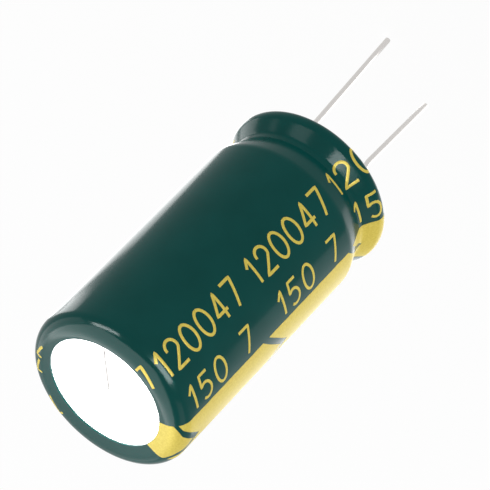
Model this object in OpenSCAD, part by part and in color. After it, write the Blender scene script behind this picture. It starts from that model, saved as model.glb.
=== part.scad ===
// Radial electrolytic capacitor: a drawn aluminium can with a film sleeve, a rubber seal
// crimped in its open end, a wound section inside, and two wire leads. Millimetres.
// The origin is on the can's axis in the plane that sits on the circuit board, +Z points
// to the closed end, and X runs through both leads with the negative one on +X.

/* [Can] */
// Outside diameter over the sleeve
can_d = 18; // [17:0.5:20]
// Length over the sleeve, from the board to the closed end
can_l = 35.5; // [30:0.5:45]
// Outside radius of the closed end's edge, over the sleeve
shoulder_r = 1.8; // [1.2:0.1:2.4]
// Thickness of the can's aluminium
can_t = 0.4; // [0.3:0.05:0.5]

/* [Groove and rim] */
// Depth of the groove that squeezes the seal
groove_depth = 1.05; // [0.7:0.05:1.1]
// Length of the groove's straight floor
groove_floor = 0.3; // [0.2:0.1:1]
// Inside radius of the groove's two corners
groove_r = 0.6; // [0.5:0.05:0.8]
// Slope of the groove's long side, from the axis
ramp_angle = 20; // [18:1:30]
// Radius where the long side runs into the can's wall
ramp_r = 2.2; // [1.8:0.1:2.5]
// Slope of the groove's short side, from the axis
flare_angle = 36; // [30:1:50]
// How far the rim stands out past the can's wall
rim_swell = 0.05; // [0:0.05:0.2]
// Radius of the rim on its groove side
rim_back_r = 1; // [0.9:0.1:1.1]
// Straight length of the rim's side
rim_side = 0.1; // [0.1:0.1:0.6]
// Radius of the rim on its board side, where the can's edge is folded in
rim_front_r = 1; // [0.9:0.1:1.6]
// Width of the can's edge lying flat on the seal
rim_lap = 0.35; // [0.25:0.05:0.5]

/* [Vent] */
// Length of the vent's long score
score_long = 10.6; // [8:0.2:11]
// Length of the vent's short score, from the long one outward
score_short = 5.6; // [4:0.2:5.8]
// Direction of the long score
score_angle = 19; // [0:1:60]
// Distance of the long score from the can's axis
score_offset = 1.0; // [0:0.1:1.4]
// Distance of the scores' meeting point along the long score, from its nearest to the axis
score_shift = 0.7; // [0:0.1:0.9]
// Width of a score at the surface
score_w = 0.32; // [0.2:0.02:0.6]
// Depth of a score
score_depth = 0.16; // [0.1:0.02:0.25]

/* [Sleeve] */
// Thickness of the shrunk film
sleeve_t = 0.12; // [0.08:0.01:0.2]
// Radius of the opening that leaves the closed end bare
window_r = 6.37; // [6:0.1:6.5]
// Distance of that opening's centre from the can's axis
window_shift = 0.7; // [0:0.1:0.75]
// Direction in which the opening is off centre
window_angle = 96; // [0:5:360]
// How far the film's lip reaches past the can's folded edge
lip_reach = 0.3; // [0.1:0.05:0.6]

/* [Seal] */
// Thickness of the rubber seal
seal_t = 6.3; // [6:0.1:7]
// Size of the bevel round the seal's inner face
seal_bevel = 0.5; // [0.3:0.1:0.8]

/* [Leads] */
// Distance between the two leads at the board
lead_spacing = 7.5; // [7:0.1:8]
// Diameter of the lead wire
lead_d = 0.6; // [0.5:0.05:1]
// Reach of the positive lead below the board plane
long_reach = 20.95; // [18:0.1:24]
// Reach of the negative lead below the board plane
short_reach = 16.6; // [14:0.1:17.5]
// Straight length of each lead below the board plane, before its first bend
stub = 1.4; // [1:0.1:2]
// Radius of the bends in the leads, on the wire's centre
bend_r = 3; // [2:0.5:4]
// Outward lean of the positive lead, between its two bends
long_first_angle = 9; // [8:0.5:14]
// Length of the positive lead between its two bends
long_first_run = 0.4; // [0.2:0.1:3]
// Outward lean of the positive lead, down to its tip
long_last_angle = 2.8; // [0:0.1:2.8]
// Inward lean of the negative lead, between its two bends
short_first_angle = 13; // [8:0.5:16]
// Length of the negative lead between its two bends
short_first_run = 3.7; // [3:0.1:5]
// Outward lean of the negative lead, down to its tip
short_last_angle = 1.2; // [0:0.1:3]

/* [Terminals] */
// Diameter of the aluminium post that passes through the seal
post_d = 2.3; // [2:0.1:2.6]
// Width of the tab that the post is flattened into
tab_w = 2.8; // [2.4:0.1:3.2]
// Thickness of that tab
tab_t = 0.35; // [0.25:0.05:0.5]
// Length over which the post thins into the tab
tab_taper = 1.6; // [1.2:0.1:2]
// Length of the tab inside the wound section
tab_grip = 18; // [10:0.5:22]
// Height of the post's outer end above the board plane, where the lead is welded on
weld_height = 0.6; // [0.5:0.1:1]
// Length of the weld's cone
weld_l = 0.5; // [0.3:0.1:0.5]
// Diameter of the weld where it meets the post
weld_d = 1.5; // [1.2:0.1:1.8]

/* [Wound section] */
// Gap between the taped roll and the can's wall
roll_gap = 0.3; // [0.2:0.05:0.6]
// Space between the seal and the roll
roll_seal_space = 2; // [1.8:0.1:2.5]
// Space between the roll and the closed end
roll_end_space = 0.8; // [0.5:0.1:1.5]
// Diameter of the hole that the winding pin left
pin_hole_d = 2; // [1.5:0.1:3]
// Turns drawn in the roll's two ends
roll_turns = 7; // [3:1:9]
// Depth of the step between the paper's edge and the foil's edge
roll_step = 0.35; // [0.2:0.05:0.5]
// Width of the paper's edge that stands up at each turn drawn
paper_w = 0.3; // [0.2:0.05:0.4]
// Play between a tab and its slot in the roll
slot_play = 0.03; // [0.02:0.01:0.05]
// Thickness of the tape round the roll
tape_t = 0.08; // [0.05:0.01:0.12]
// Bare length of the roll at each end of the tape
tape_margin = 2; // [1:0.5:4]
// Angle over which the tape's end laps over its start
tape_lap = 40; // [20:5:90]

/* [Hidden] */
$fn = 72;
// Steps in each rounded corner of the can's section
arc_steps = 7;
// Steps in each turn of the roll's spiral
spiral_steps = 20;
// Overlap given to cutting shapes, so that they pass the surface they cut
over = 0.1;
wall_r = can_d / 2;
rim_r = wall_r + rim_swell;
floor_r = wall_r - groove_depth;
ramp_run = (groove_depth - (groove_r + ramp_r) * (1 - cos(ramp_angle))) / sin(ramp_angle);
// Straight lengths of the groove's two sides, between their rounded ends
flare_run = (rim_r - floor_r - (groove_r + rim_back_r) * (1 - cos(flare_angle))) / sin(flare_angle);
rim_back_z = rim_front_r + rim_side;
floor_z = rim_back_z + (groove_r + rim_back_r) * sin(flare_angle) + flare_run * cos(flare_angle);
floor_top_z = floor_z + groove_floor;
ramp_z = floor_top_z + (groove_r + ramp_r) * sin(ramp_angle) + ramp_run * cos(ramp_angle);
// The metal starts below the film, and the inside starts below the metal
metal = sleeve_t;
inside = sleeve_t + can_t;
bore_r = wall_r - inside;
fold_r = rim_r - rim_front_r - rim_lap;
lip_r = fold_r - lip_reach;
seal_top_z = inside + seal_t;
lead_x = lead_spacing / 2;
lead_r = lead_d / 2;
post_r = post_d / 2;
roll_r = bore_r - roll_gap - tape_t;
roll_z = seal_top_z + roll_seal_space;
roll_l = can_l - inside - roll_end_space - roll_z;
taper_z = seal_top_z + (roll_seal_space - tab_taper) / 2;
slot_top_z = roll_z + tab_grip;

// Points along an arc about a centre, from one angle to another
function arc(c, r, from, to) =
    [for (i = [0 : arc_steps]) let (a = from + (to - from) * i / arc_steps)
        c + r * [cos(a), sin(a)]];

// Half of the can's section at a depth below the film's surface, as [radius, height]
// points from the closed end's centre round to the folded edge at radius end_r
function skin(depth, end_r) = concat(
    [[0, can_l - depth]],
    arc([wall_r - shoulder_r, can_l - shoulder_r], shoulder_r - depth, 90, 0),
    arc([wall_r - ramp_r, ramp_z], ramp_r - depth, 0, -ramp_angle),
    arc([floor_r + groove_r, floor_top_z], groove_r + depth, 180 - ramp_angle, 180),
    arc([floor_r + groove_r, floor_z], groove_r + depth, 180, 180 + flare_angle),
    arc([rim_r - rim_back_r, rim_back_z], rim_back_r - depth, flare_angle, 0),
    arc([rim_r - rim_front_r, rim_front_r], rim_front_r - depth, 0, -90),
    [[end_r, depth]]);

function reversed(list) = [for (i = [len(list) - 1 : -1 : 0]) list[i]];

// Spiral points between two radii, for a strip of the given width inside the line
function spiral(r0, r1, turns, shift) =
    [for (i = [0 : turns * spiral_steps]) let (s = i / (turns * spiral_steps))
        (r0 + (r1 - r0) * s + shift) * [cos(360 * turns * s), sin(360 * turns * s)]];

// A closed layer of the can's shape between two depths
module layer(outer, inner, end_r) {
    rotate_extrude() polygon(concat(skin(outer, end_r), reversed(skin(inner, end_r))));
}

// A V-shaped score cut into the closed end, from the origin along +X
module score(length) {
    rotate([90, 0, 90]) linear_extrude(length)
        polygon([[-score_w / 2, over / 2], [-score_w / 2, 0], [0, -score_depth],
                 [score_w / 2, 0], [score_w / 2, over / 2]]);
}

module can() {
    color([0.86, 0.87, 0.88]) difference() {
        layer(metal, inside, fold_r);
        rotate(score_angle) translate([score_shift, score_offset, can_l - metal]) {
            translate([-score_long / 2, 0]) score(score_long);
            rotate(90) score(score_short);
        }
    }
}

module sleeve() {
    color([0.15, 0.30, 0.29]) difference() {
        layer(0, metal, lip_r);
        rotate(window_angle) translate([window_shift, 0, can_l - metal - over])
            cylinder(r = window_r, h = metal + 2 * over);
    }
}

// Everything that the can's inside holds, as one solid
module can_inside() {
    rotate_extrude() polygon(concat(skin(inside, fold_r), [[0, inside]]));
}

module seal() {
    color([0.13, 0.12, 0.12]) difference() {
        union() {
            intersection() {
                can_inside();
                rotate_extrude() polygon([[0, 0], [wall_r, 0], [wall_r, seal_top_z - seal_bevel],
                    [bore_r - seal_bevel, seal_top_z], [0, seal_top_z]]);
            }
            translate([0, 0, metal]) cylinder(r = fold_r, h = can_t + seal_bevel);
        }
        for (side = [-1, 1]) translate([side * lead_x, 0, metal - over])
            cylinder(r = post_r, h = seal_top_z);
    }
}

// Post through the seal, thinned into a flat tab that grips the foil
module terminal() {
    translate([0, 0, weld_height]) cylinder(r = post_r, h = taper_z - weld_height);
    intersection() {
        rotate([90, 0, 90]) linear_extrude(post_d, center = true)
            polygon([[-post_r, taper_z], [post_r, taper_z], [tab_w / 2, taper_z + tab_taper],
                     [tab_w / 2, slot_top_z - tab_w / 2], [tab_w / 4, slot_top_z],
                     [-tab_w / 4, slot_top_z], [-tab_w / 2, slot_top_z - tab_w / 2],
                     [-tab_w / 2, taper_z + tab_taper]]);
        rotate([90, 0, 0]) linear_extrude(tab_w + over, center = true)
            polygon([[-post_r, taper_z], [post_r, taper_z], [tab_t / 2, taper_z + tab_taper],
                     [tab_t / 2, slot_top_z], [-tab_t / 2, slot_top_z],
                     [-tab_t / 2, taper_z + tab_taper]]);
        union() {
            translate([0, 0, taper_z]) cylinder(r1 = post_r, r2 = post_r + tab_w / 2, h = tab_taper);
            translate([0, 0, taper_z + tab_taper]) cylinder(r = post_r + tab_w / 2, h = slot_top_z);
        }
    }
}

module anode_terminal() {
    color([0.80, 0.80, 0.81]) translate([-lead_x, 0]) terminal();
}

module cathode_terminal() {
    color([0.80, 0.80, 0.81]) translate([lead_x, 0]) terminal();
}

// Straight wire downward, with what follows carried to its lower end
module straight(length) {
    translate([0, 0, -length]) cylinder(r = lead_r, h = length);
    translate([0, 0, -length]) children();
}

// Bend from straight down toward +X, or toward -X if negative, and what follows it
module bend(angle) {
    side = sign(angle);
    mirror([side < 0 ? 1 : 0, 0]) translate([bend_r, 0]) rotate([0, 180, 0]) rotate([90, 0, 0])
        rotate_extrude(angle = abs(angle)) translate([bend_r, 0]) circle(lead_r);
    translate([side * bend_r, 0]) rotate([0, -angle, 0]) translate([-side * bend_r, 0]) children();
}

// Top of a lead: its weld to the post and its straight stub through the board plane
module lead_top() {
    translate([0, 0, weld_height - weld_l]) cylinder(r1 = lead_r, r2 = weld_d / 2, h = weld_l);
    translate([0, 0, weld_height - weld_l]) straight(weld_height - weld_l + stub) children();
}

// A lead with two bends, leaning toward +X where the angles are positive
module lead(first_angle, first_run, last_angle, reach) {
    turned = bend_r * (abs(sin(first_angle)) + abs(sin(last_angle) - sin(first_angle)));
    last_run = (reach - stub - turned - first_run * cos(first_angle)) / cos(last_angle);
    lead_top() bend(first_angle) straight(first_run)
        bend(last_angle - first_angle) straight(last_run);
}

module anode_lead() {
    color([0.78, 0.78, 0.77]) translate([-lead_x, 0])
        lead(-long_first_angle, long_first_run, -long_last_angle, long_reach);
}

module cathode_lead() {
    color([0.78, 0.78, 0.77]) translate([lead_x, 0])
        lead(-short_first_angle, short_first_run, short_last_angle, short_reach);
}

// Foil edges that lie below the paper's edge, as one spiral strip at each end
module roll_steps() {
    pitch = (roll_r - pin_hole_d / 2) / (roll_turns + 1);
    inner_r = pin_hole_d / 2 + pitch / 2;
    outer_r = roll_r - pitch / 2;
    linear_extrude(roll_step + over) polygon(concat(
        spiral(inner_r, outer_r, roll_turns, 0),
        reversed(spiral(inner_r, outer_r, roll_turns, pitch - paper_w))));
}

module winding() {
    color([0.82, 0.78, 0.68]) difference() {
        translate([0, 0, roll_z]) cylinder(r = roll_r, h = roll_l);
        translate([0, 0, roll_z - over]) cylinder(d = pin_hole_d, h = roll_l + 2 * over);
        for (side = [-1, 1]) translate([side * lead_x, 0, (roll_z - over + slot_top_z) / 2])
            cube([tab_t + 2 * slot_play, tab_w + 2 * slot_play, tab_grip + over + 2 * slot_play],
                 center = true);
        translate([0, 0, roll_z + roll_l - roll_step]) roll_steps();
    }
}

module winding_tape() {
    color([0.80, 0.66, 0.36]) translate([0, 0, roll_z + tape_margin]) {
        difference() {
            cylinder(r = roll_r + tape_t, h = roll_l - 2 * tape_margin);
            translate([0, 0, -over]) cylinder(r = roll_r, h = roll_l);
        }
        rotate_extrude(angle = tape_lap) translate([roll_r + tape_t / 2, 0])
            square([tape_t * 3 / 2, roll_l - 2 * tape_margin]);
    }
}

can();
sleeve();
seal();
anode_terminal();
cathode_terminal();
anode_lead();
cathode_lead();
winding();
winding_tape();
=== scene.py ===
import bpy
from math import atan2, cos, hypot, pi, radians, sin, sqrt, tau
from mathutils import Matrix, Vector, noise


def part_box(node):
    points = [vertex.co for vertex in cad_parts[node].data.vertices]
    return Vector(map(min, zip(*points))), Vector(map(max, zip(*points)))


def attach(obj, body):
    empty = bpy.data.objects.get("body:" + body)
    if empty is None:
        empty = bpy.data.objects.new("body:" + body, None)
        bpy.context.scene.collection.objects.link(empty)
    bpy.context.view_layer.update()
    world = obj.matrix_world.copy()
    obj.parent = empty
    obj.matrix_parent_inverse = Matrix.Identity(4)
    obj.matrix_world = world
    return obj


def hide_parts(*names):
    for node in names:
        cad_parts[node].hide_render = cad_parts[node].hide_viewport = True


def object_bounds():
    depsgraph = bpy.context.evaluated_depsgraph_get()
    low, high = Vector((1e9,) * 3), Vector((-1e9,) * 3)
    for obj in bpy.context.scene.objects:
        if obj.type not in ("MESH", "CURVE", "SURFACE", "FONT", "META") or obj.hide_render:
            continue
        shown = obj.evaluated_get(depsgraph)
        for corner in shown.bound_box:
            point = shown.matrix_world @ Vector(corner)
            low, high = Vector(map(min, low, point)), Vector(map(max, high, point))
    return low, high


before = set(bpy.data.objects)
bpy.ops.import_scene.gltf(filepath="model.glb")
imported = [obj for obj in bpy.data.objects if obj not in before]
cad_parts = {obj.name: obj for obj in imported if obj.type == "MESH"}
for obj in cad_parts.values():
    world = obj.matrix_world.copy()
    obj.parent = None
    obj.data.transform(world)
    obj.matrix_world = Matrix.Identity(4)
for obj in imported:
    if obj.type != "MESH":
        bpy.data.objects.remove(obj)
cad_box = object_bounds()
MM = 0.001

# Camera: a long lens that looks down on the closed end from the far side of the
# leads, rolled so that the can lies on a diagonal with its leads at the upper right.
TARGET = Vector((-0.42, 0.11, 11.36)) * MM
CAMERA_AZIMUTH = radians(75.22)
CAMERA_ELEVATION = radians(35.30)
CAMERA_ROLL = radians(-135.88)
CAMERA_DISTANCE = 354.94 * MM
PICTURE_SIZE = 490
FOCAL_PIXELS = 3600

bpy.ops.object.select_all(action="DESELECT")
toward_camera = Vector((cos(CAMERA_ELEVATION) * cos(CAMERA_AZIMUTH),
                        cos(CAMERA_ELEVATION) * sin(CAMERA_AZIMUTH),
                        sin(CAMERA_ELEVATION)))
bpy.ops.object.camera_add(location=TARGET + toward_camera * CAMERA_DISTANCE)
camera = bpy.context.object
camera.name = "camera"
level = toward_camera.to_track_quat("Z", "Y")
camera.rotation_euler = (level.to_matrix() @ Matrix.Rotation(CAMERA_ROLL, 3, "Z")).to_euler()
camera.data.sensor_width = 36
camera.data.lens = camera.data.sensor_width * FOCAL_PIXELS / PICTURE_SIZE
camera.data.clip_start = 0.05
camera.data.clip_end = 10
bpy.context.scene.camera = camera
bpy.context.scene.view_settings.view_transform = "Standard"


# Studio: a white table under the lead tips, a white surround that the camera and
# the gloss see, and soft lamps. Panels that only the gloss sees stand for the soft boxes
# and cards that streak the film. The table keeps a faint shadow.
TABLE_SIZE = 6000
TABLE_GAP = 0.05
TABLE_GLOW = 0.92


def node_in(tree, kind, x=0, y=0, **settings):
    added = tree.nodes.new(kind)
    added.location = (x, y)
    for key, value in settings.items():
        setattr(added, key, value)
    return added


def seen_directly(tree):
    """A socket that is 1 for what the camera, the gloss and the glass see."""
    rays = node_in(tree, "ShaderNodeLightPath", -1000, 200)
    first = node_in(tree, "ShaderNodeMath", -800, 200, operation="MAXIMUM")
    both = node_in(tree, "ShaderNodeMath", -600, 200, operation="MAXIMUM")
    tree.links.new(rays.outputs["Is Camera Ray"], first.inputs[0])
    tree.links.new(rays.outputs["Is Glossy Ray"], first.inputs[1])
    tree.links.new(first.outputs[0], both.inputs[0])
    tree.links.new(rays.outputs["Is Transmission Ray"], both.inputs[1])
    return both.outputs[0]


def white_studio(strength):
    world = bpy.data.worlds.new("studio")
    world.use_nodes = True
    tree = world.node_tree
    tree.nodes.clear()
    seen = seen_directly(tree)
    shown = node_in(tree, "ShaderNodeBackground", -400, 100)
    shown.inputs["Color"].default_value = (1, 1, 1, 1)
    light = node_in(tree, "ShaderNodeBackground", -400, -100)
    light.inputs["Color"].default_value = (1, 1, 1, 1)
    light.inputs["Strength"].default_value = strength
    blend = node_in(tree, "ShaderNodeMixShader", -200)
    tree.links.new(seen, blend.inputs[0])
    tree.links.new(light.outputs[0], blend.inputs[1])
    tree.links.new(shown.outputs[0], blend.inputs[2])
    tree.links.new(blend.outputs[0], node_in(tree, "ShaderNodeOutputWorld").inputs["Surface"])
    bpy.context.scene.world = world


def soft_lamp(name, place, aim, width, height, power):
    """A soft panel at a place in mm, turned to face another place in mm."""
    place, aim = Vector(place) * MM, Vector(aim) * MM
    bpy.ops.object.light_add(type="AREA", location=place)
    lamp = bpy.context.object
    lamp.name = name
    lamp.rotation_euler = (place - aim).to_track_quat("Z", "Y").to_euler()
    lamp.data.shape = "RECTANGLE"
    lamp.data.size = width * MM
    lamp.data.size_y = height * MM
    lamp.data.energy = power
    lamp.visible_camera = False
    return lamp


def gloss_panel(name, place, aim, width, height, radiance):
    """A panel that only the gloss sees, as bright as the radiance says, where 1 is white."""
    panel = soft_lamp(name, place, aim, width, height, radiance * pi * width * height * MM * MM)
    panel.visible_diffuse = False


white_studio(0.72)
soft_lamp("end_lamp", (-106, -395, 298), (0, 0, 11), 400, 400, 0.70)
soft_lamp("side_lamp", (427, -75, 128), (0, 0, 11), 250, 200, 0.30)
gloss_panel("overhead", (-34, -19, 134), (-34, -19, 0), 235, 243, 10.0)
gloss_panel("left_side", (-134, -49, 83), (0, 0, 34), 230, 80, 2.6)
gloss_panel("upper_strip", (-35, 44, 54.5), (-2.6, 8.2, 34), 34, 13, 44.0)
gloss_panel("lower_strip", (27, 33.2, 35.5), (4.2, 7.9, 34), 24, 18, 42.0)
gloss_panel("left_floor", (-38, -48, -20.5), (-38, -48, 0), 56, 56, 2.7)
gloss_panel("rim_card", (-62, -22, -1), (-8, 4, 2), 34, 16, 4.6)
gloss_panel("rim_plate", (-40.6, 50.7, 31), (-40.6, 50.7, 0), 30, 30, 5.2)
gloss_panel("rim_strip", (5.6, 19.2, 10.1), (5.6, 15.5, 0), 4.5, 3.0, 31.0)
gloss_panel("right_floor", (38, -38, -20.5), (38, -38, 0), 80, 80, 1.9)

table_place = (0, 0, cad_box[0].z - TABLE_GAP * MM)
bpy.ops.mesh.primitive_plane_add(size=TABLE_SIZE * MM, location=table_place)
bpy.ops.object.transform_apply(location=True)
table = bpy.context.object
table.name = "table"
paper = bpy.data.materials.new("table_paper")
paper.use_nodes = True
tree = paper.node_tree
tree.nodes.clear()
paint = node_in(tree, "ShaderNodeBsdfDiffuse", -400, 0)
paint.inputs["Color"].default_value = (0.86, 0.86, 0.86, 1)
glow = node_in(tree, "ShaderNodeEmission", -400, -200)
glow.inputs["Color"].default_value = (1, 1, 1, 1)
share = node_in(tree, "ShaderNodeMath", -400, 200, operation="MULTIPLY")
share.inputs[1].default_value = TABLE_GLOW
tree.links.new(seen_directly(tree), share.inputs[0])
blend = node_in(tree, "ShaderNodeMixShader", -200)
tree.links.new(share.outputs[0], blend.inputs[0])
tree.links.new(paint.outputs[0], blend.inputs[1])
tree.links.new(glow.outputs[0], blend.inputs[2])
tree.links.new(blend.outputs[0], node_in(tree, "ShaderNodeOutputMaterial").inputs["Surface"])
table.data.materials.append(paper)


# Sleeve: a dark green plastic film tube, printed flat, slipped over the can and shrunk
# on with heat. It dips into the groove, folds over the rim on to the seal, and gathers
# over the closed end's edge, where it leaves an opening that sits off centre.
RIM_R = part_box("sleeve")[1].x / MM
CAN_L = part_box("sleeve")[1].z / MM
WALL_R = 9.0
SHOULDER_R = 1.8
GROOVE_DEPTH = 1.05
GROOVE_FLOOR = 0.3
GROOVE_R = 0.6
RAMP_ANGLE = radians(20)
RAMP_R = 2.2
FLARE_ANGLE = radians(36)
RIM_BACK_R = 1.0
RIM_SIDE = 0.1
RIM_FRONT_R = 1.0
FOLD_LAP = 0.65
LIP_R = RIM_R - RIM_FRONT_R - FOLD_LAP
FILM_T = 0.12
FILM_STEPS = 256
MERGE_GAP = 0.002
OPENING_R = 6.37
OPENING_SHIFT = 0.7
OPENING_ANGLE = radians(96)
OPENING_WAVE = 0.03
RING_R = WALL_R - SHOULDER_R

floor_r = WALL_R - GROOVE_DEPTH
flare_run = ((RIM_R - floor_r - (GROOVE_R + RIM_BACK_R) * (1 - cos(FLARE_ANGLE)))
             / sin(FLARE_ANGLE))
ramp_run = (GROOVE_DEPTH - (GROOVE_R + RAMP_R) * (1 - cos(RAMP_ANGLE))) / sin(RAMP_ANGLE)
rim_back_z = RIM_FRONT_R + RIM_SIDE
floor_z = (rim_back_z + (GROOVE_R + RIM_BACK_R) * sin(FLARE_ANGLE)
           + flare_run * cos(FLARE_ANGLE))
ramp_z = (floor_z + GROOVE_FLOOR + (GROOVE_R + RAMP_R) * sin(RAMP_ANGLE)
          + ramp_run * cos(RAMP_ANGLE))
shoulder_z = CAN_L - SHOULDER_R


def arc(centre_r, centre_z, radius, start, end, steps):
    """Section points along an arc, with both its ends."""
    angles = [start + (end - start) * i / steps for i in range(steps + 1)]
    return [(centre_r + radius * cos(a), centre_z + radius * sin(a)) for a in angles]


def line(start, end, steps):
    """Section points between two ends, without the ends."""
    return [(start[0] + (end[0] - start[0]) * i / steps,
             start[1] + (end[1] - start[1]) * i / steps) for i in range(1, steps)]


# Half section of the film's outer face, as (radius, height), from the opening to the lip
shoulder = arc(RING_R, shoulder_z, SHOULDER_R, pi / 2, 0, 14)
ramp_top = arc(WALL_R - RAMP_R, ramp_z, RAMP_R, 0, -RAMP_ANGLE, 6)
ramp_foot = arc(floor_r + GROOVE_R, floor_z + GROOVE_FLOOR, GROOVE_R, pi - RAMP_ANGLE, pi, 6)
flare_foot = arc(floor_r + GROOVE_R, floor_z, GROOVE_R, pi, pi + FLARE_ANGLE, 8)
rim_back = arc(RIM_R - RIM_BACK_R, rim_back_z, RIM_BACK_R, FLARE_ANGLE, 0, 10)
rim_front = arc(RIM_R - RIM_FRONT_R, RIM_FRONT_R, RIM_FRONT_R, 0, -pi / 2, 12)
film_edge = (OPENING_R, CAN_L)
lip_edge = (LIP_R, 0.0)
section = ([film_edge] + line(film_edge, shoulder[0], 8) + shoulder
           + line(shoulder[-1], ramp_top[0], 24) + ramp_top
           + line(ramp_top[-1], ramp_foot[0], 5) + ramp_foot + flare_foot
           + line(flare_foot[-1], rim_back[0], 4) + rim_back + rim_front
           + line(rim_front[-1], lip_edge, 4) + [lip_edge])


def opening_edge(angle):
    """Distance from the can's axis to the off-centre opening, in mm, a little uneven."""
    turn = angle - OPENING_ANGLE
    across = sqrt(OPENING_R ** 2 - (OPENING_SHIFT * sin(turn)) ** 2)
    wave = OPENING_WAVE * noise.noise(Vector((cos(angle), sin(angle), 0)) * 5)
    return OPENING_SHIFT * cos(turn) + across + wave


def revolve(name, points, steps):
    """A skin turned all the way round from a half section of (radius, height) in mm."""
    bpy.ops.object.select_all(action="DESELECT")
    bpy.ops.mesh.primitive_plane_add(size=MM, location=(0, 0, 0))
    turned = bpy.context.object
    turned.name = name
    bpy.ops.object.mode_set(mode="EDIT")
    bpy.ops.mesh.select_all(action="SELECT")
    bpy.ops.mesh.merge(type="CENTER")
    bpy.ops.transform.translate(value=(points[0][0] * MM, 0, points[0][1] * MM))
    for here, there in zip(points, points[1:]):
        step = ((there[0] - here[0]) * MM, 0, (there[1] - here[1]) * MM)
        bpy.ops.mesh.extrude_vertices_move(TRANSFORM_OT_translate={"value": step})
    bpy.ops.mesh.select_all(action="SELECT")
    bpy.ops.mesh.spin(steps=steps, angle=tau, center=(0, 0, 0), axis=(0, 0, 1))
    bpy.ops.mesh.select_all(action="SELECT")
    bpy.ops.mesh.remove_doubles(threshold=MERGE_GAP * MM)
    bpy.ops.object.mode_set(mode="OBJECT")
    return turned


def face_outward(piece, probe):
    """Turns all the faces if the one nearest the probe points toward the axis."""
    nearest = min(piece.data.polygons, key=lambda p: (p.center - probe).length)
    if nearest.normal.dot(Vector((nearest.center.x, nearest.center.y, 0))) < 0:
        bpy.ops.object.mode_set(mode="EDIT")
        bpy.ops.mesh.select_all(action="SELECT")
        bpy.ops.mesh.flip_normals()
        bpy.ops.object.mode_set(mode="OBJECT")


sleeve = revolve("film_sleeve", section, FILM_STEPS)
face_outward(sleeve, Vector((WALL_R, 0, CAN_L / 2)) * MM)
for vertex in sleeve.data.vertices:
    x, y, z = vertex.co / MM
    inward = RING_R - hypot(x, y)
    if inward > 0 and z > CAN_L / 2:
        angle = atan2(y, x)
        radius = RING_R - inward * (RING_R - opening_edge(angle)) / (RING_R - OPENING_R)
        vertex.co = Vector((radius * cos(angle), radius * sin(angle), z)) * MM
wall = sleeve.modifiers.new("film_thickness", "SOLIDIFY")
wall.thickness = FILM_T * MM
wall.offset = -1
bpy.ops.object.modifier_apply(modifier=wall.name)
bpy.ops.object.shade_smooth_by_angle(angle=radians(40))


def plain_material(name, color, roughness, metallic=0.0):
    """A new material of one colour, with its node tree and its shader."""
    made = bpy.data.materials.new(name)
    made.use_nodes = True
    shader = made.node_tree.nodes["Principled BSDF"]
    shader.inputs["Base Color"].default_value = (*color, 1)
    shader.inputs["Roughness"].default_value = roughness
    shader.inputs["Metallic"].default_value = metallic
    return made, made.node_tree, shader


def mottle(tree, shader, socket, low, high, scale, detail=4.0, stretch=(1, 1, 1)):
    """Lets a slow noise move one input of the shader between two values or colours."""
    place = node_in(tree, "ShaderNodeTexCoord", -1000, 300)
    turn = node_in(tree, "ShaderNodeMapping", -800, 300)
    turn.inputs["Scale"].default_value = stretch
    cloud = node_in(tree, "ShaderNodeTexNoise", -600, 300)
    cloud.inputs["Scale"].default_value = scale
    cloud.inputs["Detail"].default_value = detail
    ramp = node_in(tree, "ShaderNodeValToRGB", -400, 300)
    ramp.color_ramp.elements[0].position = 0.35
    ramp.color_ramp.elements[1].position = 0.65
    ramp.color_ramp.elements[0].color = low
    ramp.color_ramp.elements[1].color = high
    tree.links.new(place.outputs["Object"], turn.inputs["Vector"])
    tree.links.new(turn.outputs["Vector"], cloud.inputs["Vector"])
    tree.links.new(cloud.outputs["Fac"], ramp.inputs["Fac"])
    tree.links.new(ramp.outputs["Color"], shader.inputs[socket])


def relief(tree, shader, scale, strength, distance, stretch=(1, 1, 1)):
    """Adds a fine bump from noise on the object's own coordinates."""
    place = node_in(tree, "ShaderNodeTexCoord", -1000, -300)
    turn = node_in(tree, "ShaderNodeMapping", -800, -300)
    turn.inputs["Scale"].default_value = stretch
    grain = node_in(tree, "ShaderNodeTexNoise", -600, -300)
    grain.inputs["Scale"].default_value = scale
    grain.inputs["Detail"].default_value = 3.0
    bump = node_in(tree, "ShaderNodeBump", -300, -300)
    bump.inputs["Strength"].default_value = strength
    bump.inputs["Distance"].default_value = distance
    tree.links.new(place.outputs["Object"], turn.inputs["Vector"])
    tree.links.new(turn.outputs["Vector"], grain.inputs["Vector"])
    tree.links.new(grain.outputs["Fac"], bump.inputs["Height"])
    tree.links.new(bump.outputs["Normal"], shader.inputs["Normal"])


# The white surround is brighter than a real room, so the film mirrors less of it
green, tree, shader = plain_material("green_film", (0.0013, 0.062, 0.055), 0.16)
shader.inputs["Specular IOR Level"].default_value = 0.065
mottle(tree, shader, "Base Color", (0.0008, 0.058, 0.051, 1), (0.0018, 0.067, 0.060, 1), 160)
relief(tree, shader, 420, 0.10, 0.02 * MM)
sleeve.data.materials.append(green)
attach(sleeve, "root")
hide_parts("sleeve")


# Gold print: ink with a gold pigment, laid on the film before it was shrunk. A stripe
# with pointed gaps marks the negative lead's side, and rows of plain figures run along
# the can. Each mark is drawn flat, round the can by along the film, then laid on it.
INK_LIFT = 0.006
INK_T = 0.012
CUT_MARGIN = 0.04
LIP_MARGIN = 0.02
PRINT_PERIOD = 14.8
PRINT_GROUPS = range(-1, 3)
PRINT_END = 38.5
# Past this length the film's cut end has shrunk along the can too, and its print with it
END_START = 34.8
END_SHRINK = 0.47
# The stripe reaches this many degrees to each side, and its gaps point to the leads
STRIPE_HALF = 20.0
STRIPE_WAVE = 0.04
GAP_TIP_Z = 17.4
GAP_LENGTH = 1.05
GAP_SLOPE = 0.169


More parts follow.
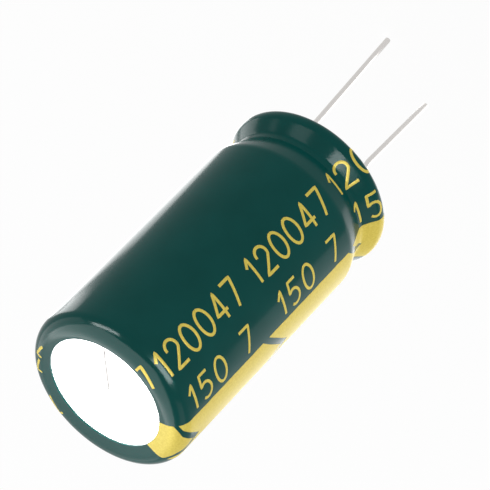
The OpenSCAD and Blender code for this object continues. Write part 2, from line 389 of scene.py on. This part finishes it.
def film_track(points):
    """Length along the film for each section point, equal to the height on the wall."""
    lengths = [0.0]
    for here, there in zip(points, points[1:]):
        lengths.append(lengths[-1] + hypot(there[0] - here[0], there[1] - here[1]))
    wall_at = next(i for i, p in enumerate(points) if abs(p[1] - shoulder_z) < 1e-6)
    top = shoulder_z + lengths[wall_at]
    return [top - length for length in lengths]


track = film_track(section)


def end_shrunk(length):
    """Where a length of the flat print comes to lie once the film's end has shrunk."""
    return length if length < END_START else END_START + END_SHRINK * (length - END_START)


def film_reach(angle):
    """Length along the film of its cut edge round the opening, less a hair."""
    return track[0] + OPENING_R - opening_edge(angle) - CUT_MARGIN


def on_film(angle, length, lift):
    """Point of the film at an angle and a length along it, lifted off its face, in m."""
    i = 0
    while i < len(track) - 2 and track[i + 1] > length:
        i += 1
    part = (track[i] - length) / (track[i] - track[i + 1])
    radius = section[i][0] + (section[i + 1][0] - section[i][0]) * part
    height = section[i][1] + (section[i + 1][1] - section[i][1]) * part
    along = Vector((section[i + 1][0] - section[i][0], section[i + 1][1] - section[i][1]))
    out = Vector((-along.y, along.x)).normalized() * lift
    radius += out.x
    height += out.y
    return Vector((radius * cos(angle), radius * sin(angle), height)) * MM


def lay_on_film(piece):
    """Moves a flat drawing (x: mm round the can, y: mm along the film) on to the film."""
    for vertex in piece.data.vertices:
        x, y, z = vertex.co
        vertex.co = on_film(x / WALL_R, y, INK_LIFT + z)
    piece.data.update()


def stripe_field(low, high):
    """One field of the stripe between two gaps, as a fine flat grid."""
    columns, rows = 48, 90
    bpy.ops.object.select_all(action="DESELECT")
    bpy.ops.mesh.primitive_grid_add(x_subdivisions=columns, y_subdivisions=rows, size=2,
                                    location=(0, 0, 0))
    field = bpy.context.object
    for vertex in field.data.vertices:
        angle = vertex.co.x * STRIPE_HALF
        slope = GAP_SLOPE * abs(angle)
        bottom = max(end_shrunk(low + slope), track[-1] + LIP_MARGIN)
        top = min(end_shrunk(high + slope), film_reach(radians(angle)))
        wave = STRIPE_WAVE * noise.noise(Vector((vertex.co.x * 3, vertex.co.y * 9, low)))
        share = (vertex.co.y + 1) / 2
        vertex.co = (radians(angle) * WALL_R + wave, bottom + (top - bottom) * share, 0)
    return field


fields = []
for count in PRINT_GROUPS:
    tip = GAP_TIP_Z + PRINT_PERIOD * count
    fields.append(stripe_field(tip - PRINT_PERIOD + GAP_LENGTH, tip))
for number, field in enumerate(fields):
    field.name = f"stripe_field_{number}"

# Each figure's strokes, as (across, up) in shares of its width and its height
STROKES = {
    "0": [[(0.5 + 0.5 * sin(a), 0.5 + 0.5 * cos(a)) for a in
           [tau * i / 28 for i in range(29)]]],
    "1": [[(0.05, 0.70), (0.45, 1.0), (0.45, 0.0)]],
    "2": [[(0.5 - 0.47 * cos(a), 0.72 + 0.28 * sin(a)) for a in
           [radians(-5 + 210 * i / 14) for i in range(15)]] + [(0.0, 0.0), (1.0, 0.0)]],
    "4": [[(0.72, 0.0), (0.72, 1.0), (0.0, 0.28), (1.0, 0.28)]],
    "5": [[(0.9, 1.0), (0.15, 1.0), (0.05, 0.55)]
          + [(0.45 - 0.5 * cos(a), 0.32 + 0.32 * sin(a)) for a in
             [radians(50 + 260 * i / 14) for i in range(15)]]],
    "7": [[(0.0, 1.0), (0.95, 1.0), (0.35, 0.0)]],
}


STROKE_STEP = 0.15
STROKE_MARGIN = 0.1


def refined(points):
    """The same path with points no further apart than a stroke's step, in mm."""
    dense = [points[0]]
    for here, there in zip(points, points[1:]):
        pieces = max(1, int(hypot(there[0] - here[0], there[1] - here[1]) / STROKE_STEP))
        for i in range(1, pieces + 1):
            dense.append((here[0] + (there[0] - here[0]) * i / pieces,
                          here[1] + (there[1] - here[1]) * i / pieces))
    return dense


def on_film_only(points, margin):
    """Splits a path into the stretches that lie between the film's two cut ends."""
    pieces = [[]]
    for x, y in points:
        if track[-1] + STROKE_MARGIN < y < film_reach(x / WALL_R) - margin:
            pieces[-1].append((x, y))
        elif pieces[-1]:
            pieces.append([])
    return [piece for piece in pieces if len(piece) > 1]


def pick(piece):
    """Selects one piece alone."""
    bpy.ops.object.select_all(action="DESELECT")
    piece.select_set(True)
    bpy.context.view_layer.objects.active = piece


def figure_row(name, figures, starts, low_angle, high_angle, width, stroke):
    """A row of figures read from the closed end to the leads, as inked strokes."""
    drawing = bpy.data.curves.new(name, "CURVE")
    drawing.dimensions = "3D"
    drawing.bevel_depth = stroke / 2
    drawing.bevel_resolution = 2
    drawing.use_fill_caps = True
    base = radians(low_angle) * WALL_R + stroke / 2
    tall = radians(high_angle - low_angle) * WALL_R - stroke
    for group in PRINT_GROUPS:
        for figure, start in zip(figures, starts):
            paths = STROKES[figure] if start - PRINT_PERIOD * group < PRINT_END else []
            for path in paths:
                points = []
                for x, y in path:
                    length = start - PRINT_PERIOD * group - x * width
                    points.append((base + y * tall, end_shrunk(length)))
                for piece in on_film_only(refined(points), stroke / 4):
                    spline = drawing.splines.new("POLY")
                    spline.points.add(len(piece) - 1)
                    for point, (x, y) in zip(spline.points, piece):
                        point.co = (x, y, 0, 1)
    row = bpy.data.objects.new(name, drawing)
    bpy.context.collection.objects.link(row)
    pick(row)
    bpy.ops.object.convert(target="MESH")
    row = bpy.context.object
    for vertex in row.data.vertices:
        vertex.co.z *= 2 * INK_T / stroke
    return row


# Where each figure of a group starts, in mm along the film
UPPER_STARTS = (34.45, 32.7, 30.35, 28.0, 25.65, 23.3)
LOWER_STARTS = (33.25, 31.5, 29.05, 24.6)
BACK_STARTS = (31.95, 30.2, 27.75, 23.3)
rows = [
    figure_row("figures_upper", "120047", UPPER_STARTS, 53.0, 73.0, 1.6, 0.32),
    figure_row("figures_lower", "1507", LOWER_STARTS, 23.0, 42.2, 1.55, 0.30),
    figure_row("figures_back_lower", "1507", BACK_STARTS, 173.5, 187.0, 1.5, 0.28),
    figure_row("figures_back_upper", "120047", UPPER_STARTS, 189.0, 203.0, 1.6, 0.28),
    figure_row("figures_far", "120047", UPPER_STARTS, 224.0, 242.0, 1.6, 0.30),
]

gold, tree, shader = plain_material("gold_ink", (0.70, 0.56, 0.10), 0.35, 0.03)
shader.inputs["Specular IOR Level"].default_value = 0.05
mottle(tree, shader, "Base Color", (0.67, 0.53, 0.09, 1), (0.75, 0.61, 0.12, 1), 5000,
       detail=2.0)
relief(tree, shader, 2500, 0.25, 0.01 * MM)

for field in fields:
    lay_on_film(field)
    pick(field)
    ink = field.modifiers.new("ink_thickness", "SOLIDIFY")
    ink.thickness = INK_T * MM
    ink.offset = 0
    bpy.ops.object.modifier_apply(modifier=ink.name)
for row in rows:
    lay_on_film(row)
for mark in fields + rows:
    pick(mark)
    bpy.ops.object.mode_set(mode="EDIT")
    bpy.ops.mesh.select_all(action="SELECT")
    bpy.ops.mesh.normals_make_consistent(inside=False)
    bpy.ops.object.mode_set(mode="OBJECT")
    bpy.ops.object.shade_smooth_by_angle(angle=radians(50))
    mark.data.materials.clear()
    mark.data.materials.append(gold)
    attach(mark, "root")


# Can: a cup drawn from pure aluminium, bare only at the closed end. A T is scored there,
# so that the end tears open as a vent. The scores' floors are painted darker and duller than
# the bright metal: partly the scored metal's own dullness, partly painted shade in the recess.
def repaint(node, material):
    """Gives a CAD node its finish."""
    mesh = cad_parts[node].data
    mesh.materials.clear()
    mesh.materials.append(material)


BARE_END_Z = 35.38
SCORE_FLOOR_Z = 35.22
BRIGHT_METAL = (0.90, 0.90, 0.91)
DULL_SHADED_METAL = (0.46, 0.45, 0.44)
aluminium, tree, shader = plain_material("drawn_aluminium", BRIGHT_METAL, 0.30, 1.0)
mottle(tree, shader, "Roughness", (0.26, 0.26, 0.26, 1), (0.38, 0.38, 0.38, 1), 500)
relief(tree, shader, 1200, 0.10, 0.01 * MM)
# Painted shade: the deeper a point lies in a score, the darker and less metallic the metal,
# over the scores' own dullness
place = node_in(tree, "ShaderNodeTexCoord", -1000, 700)
height = node_in(tree, "ShaderNodeSeparateXYZ", -800, 700)
tree.links.new(place.outputs["Object"], height.inputs[0])
depth = node_in(tree, "ShaderNodeMapRange", -600, 700)
depth.inputs["From Min"].default_value = SCORE_FLOOR_Z * MM
depth.inputs["From Max"].default_value = BARE_END_Z * MM
tree.links.new(height.outputs["Z"], depth.inputs["Value"])
score_shade = node_in(tree, "ShaderNodeValToRGB", -400, 700)
score_shade.color_ramp.elements[0].position = 0.80
score_shade.color_ramp.elements[0].color = (*DULL_SHADED_METAL, 1)
score_shade.color_ramp.elements[1].position = 0.95
score_shade.color_ramp.elements[1].color = (*BRIGHT_METAL, 1)
tree.links.new(depth.outputs[0], score_shade.inputs["Fac"])
tree.links.new(score_shade.outputs["Color"], shader.inputs["Base Color"])
tree.links.new(depth.outputs[0], shader.inputs["Metallic"])
repaint("can", aluminium)

# Seal: a plug of black rubber, moulded with a hole for each terminal. It closes the can's
# open end, where the groove squeezes it and the rim is folded over it.
rubber, tree, shader = plain_material("black_rubber", (0.022, 0.021, 0.021), 0.7)
mottle(tree, shader, "Base Color", (0.018, 0.017, 0.017, 1), (0.034, 0.032, 0.031, 1), 600)
relief(tree, shader, 3000, 0.3, 0.02 * MM)
repaint("seal", rubber)

# Leads: round wire of copper-clad steel, tinned so that it takes solder. Each is welded to
# its terminal and cut off by a shear, the positive one longer.
tin, tree, shader = plain_material("tinned_wire", (0.62, 0.60, 0.58), 0.32, 1.0)
mottle(tree, shader, "Roughness", (0.26, 0.26, 0.26, 1), (0.44, 0.44, 0.44, 1), 900,
       stretch=(1, 1, 0.1))
relief(tree, shader, 2500, 0.15, 0.01 * MM, stretch=(1, 1, 0.05))
repaint("anode_lead", tin)
repaint("cathode_lead", tin)

# Terminals: posts of pure aluminium, pushed through the seal. Inside the can they are
# pressed flat into tabs that grip the foil.
soft_metal, tree, shader = plain_material("terminal_aluminium", (0.80, 0.80, 0.80), 0.45, 1.0)
mottle(tree, shader, "Roughness", (0.38, 0.38, 0.38, 1), (0.55, 0.55, 0.55, 1), 800)
relief(tree, shader, 2000, 0.2, 0.01 * MM)
repaint("anode_terminal", soft_metal)
repaint("cathode_terminal", soft_metal)

# Wound section: etched foils and paper rolled up together and soaked with electrolyte.
# An amber tape holds the roll shut.
soaked, tree, shader = plain_material("soaked_paper", (0.55, 0.45, 0.30), 0.6)
mottle(tree, shader, "Base Color", (0.46, 0.37, 0.23, 1), (0.60, 0.51, 0.36, 1), 400)
relief(tree, shader, 1500, 0.3, 0.02 * MM)
repaint("winding", soaked)
amber, tree, shader = plain_material("amber_tape", (0.60, 0.36, 0.09), 0.25)
mottle(tree, shader, "Base Color", (0.52, 0.30, 0.07, 1), (0.64, 0.40, 0.11, 1), 200)
relief(tree, shader, 800, 0.1, 0.01 * MM)
repaint("winding_tape", amber)
